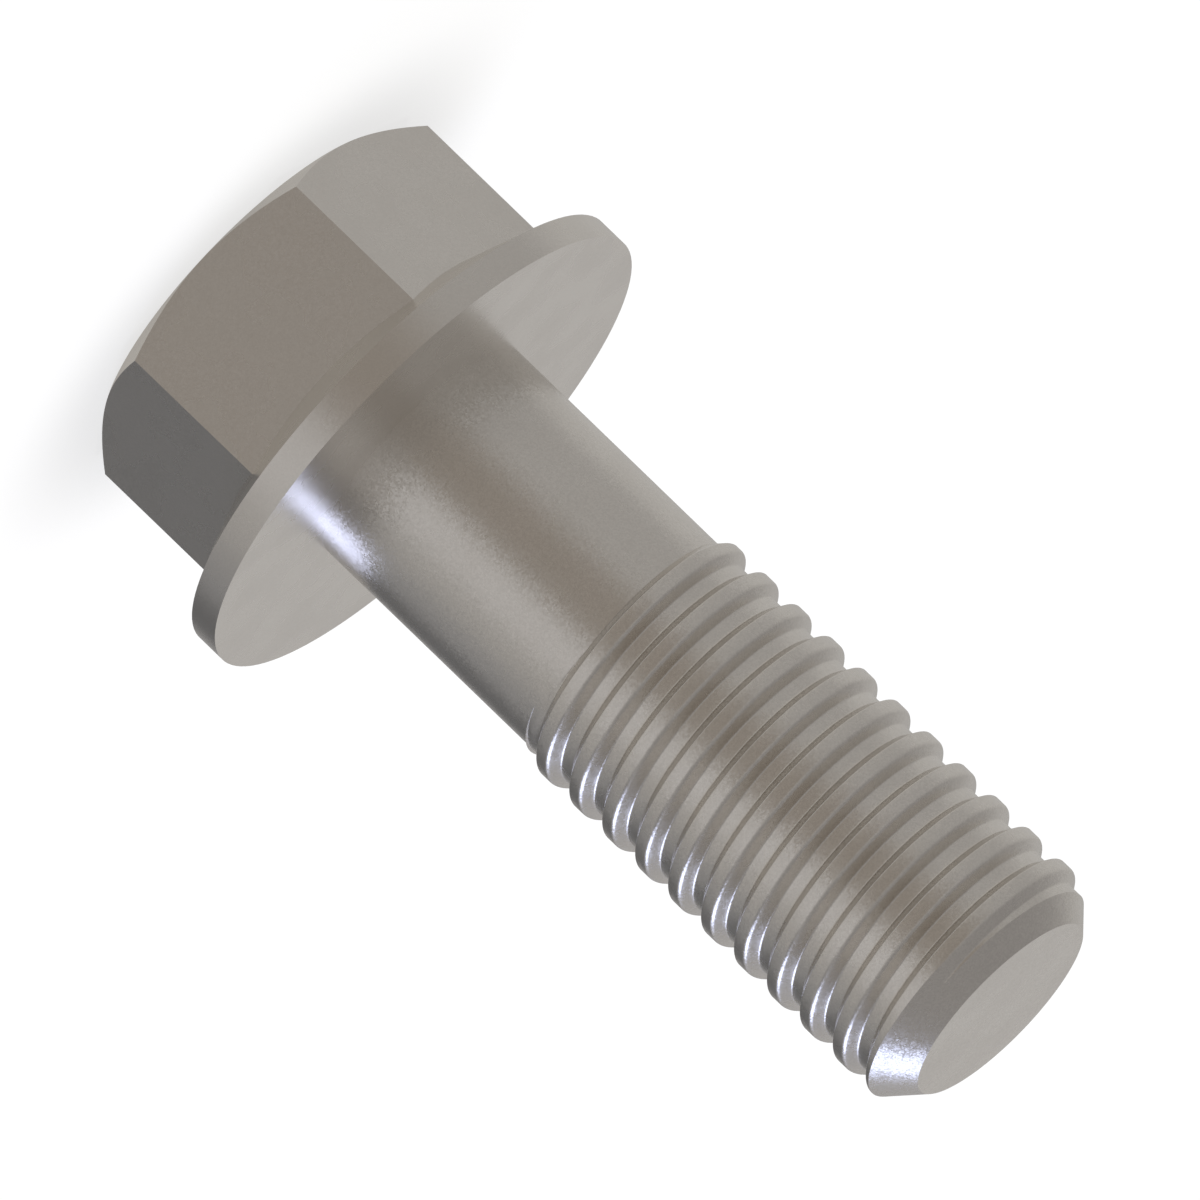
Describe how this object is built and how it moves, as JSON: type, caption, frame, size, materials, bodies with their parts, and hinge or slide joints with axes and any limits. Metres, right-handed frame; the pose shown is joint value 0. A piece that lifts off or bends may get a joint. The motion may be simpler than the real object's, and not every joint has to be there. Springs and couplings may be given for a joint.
{
  "type": "flange bolt",
  "caption": "Hex flange bolt: chamfered hexagon head, broad flange with sloping top, reduced plain shank, right-hand thread with chamfered tip.",
  "frame": {"origin": "centre of the head's flat end face, which stands on the floor", "axes": "+Z along the bolt from the head to the thread's tip; two corners of the hexagon lie on the X axis and two of its flats face -Y and +Y"},
  "size_m": [0.0152, 0.0152, 0.0284],
  "materials": {
    "steel": "satin plain steel with a fine grain"
  },
  "bodies": {
    "root": {"flange_bolt": "steel"}
  },
  "joints": []
}
